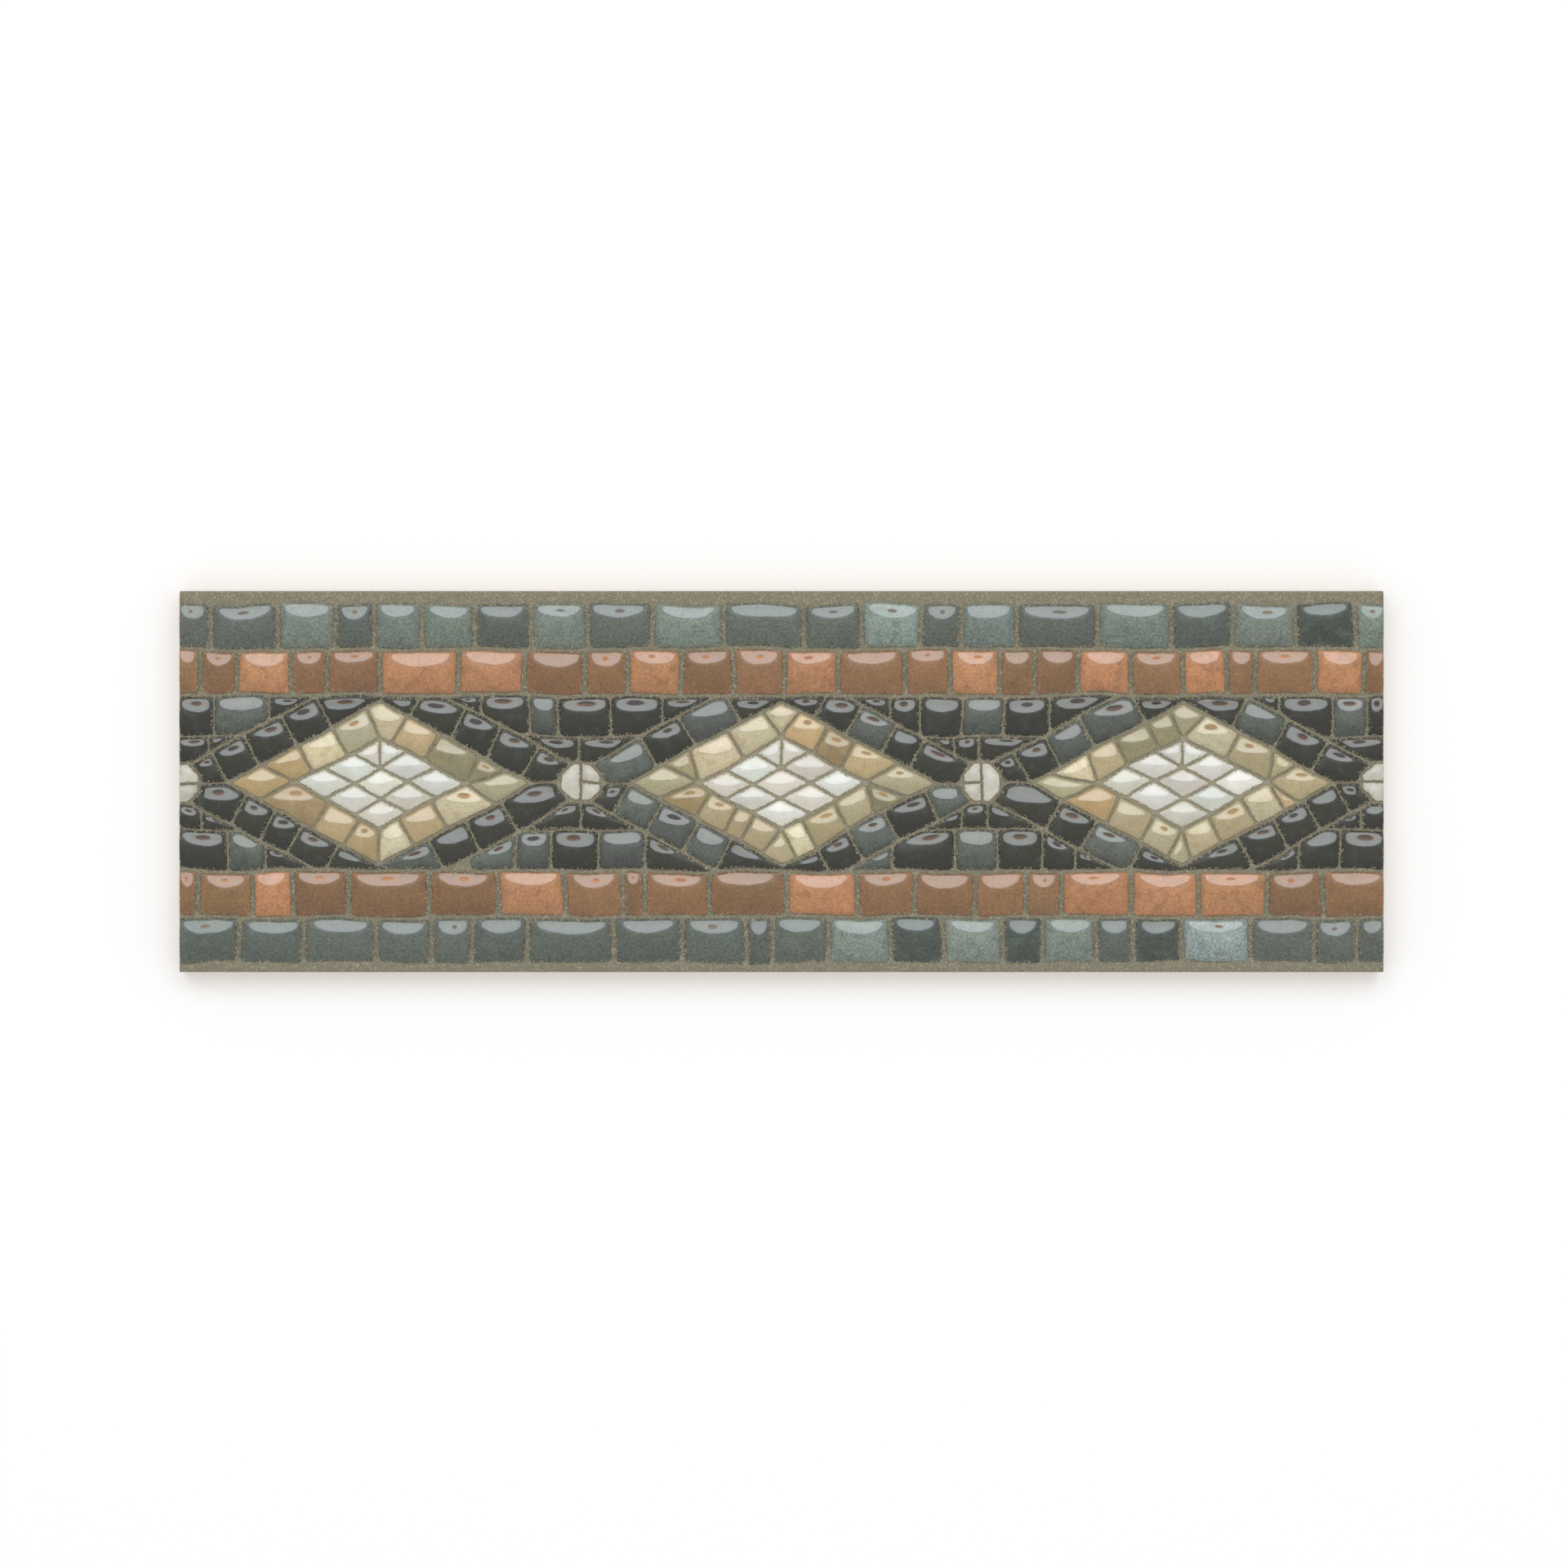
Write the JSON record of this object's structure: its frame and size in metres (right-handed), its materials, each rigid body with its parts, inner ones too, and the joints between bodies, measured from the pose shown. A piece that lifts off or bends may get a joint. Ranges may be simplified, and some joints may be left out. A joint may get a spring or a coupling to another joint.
{
  "type": "border tile",
  "caption": "Oblong glazed ceramic border tile whose face is moulded as a mosaic: oblong tesserae in rows along both long edges and a chain of lozenges between them.",
  "frame": {"origin": "middle of the back of the tile, on the plane that it is bedded on", "axes": "+X along the border, +Y across it towards the upper edge, +Z out of the decorated face"},
  "size_m": [0.3, 0.095, 0.009],
  "materials": {
    "glazed_tile": "pressed and fired tile, glossy glazes in slate, terracotta, black, amber and white on the tesserae, matt sandy joints"
  },
  "bodies": {
    "root": {"border_tile": "glazed_tile"}
  },
  "joints": []
}
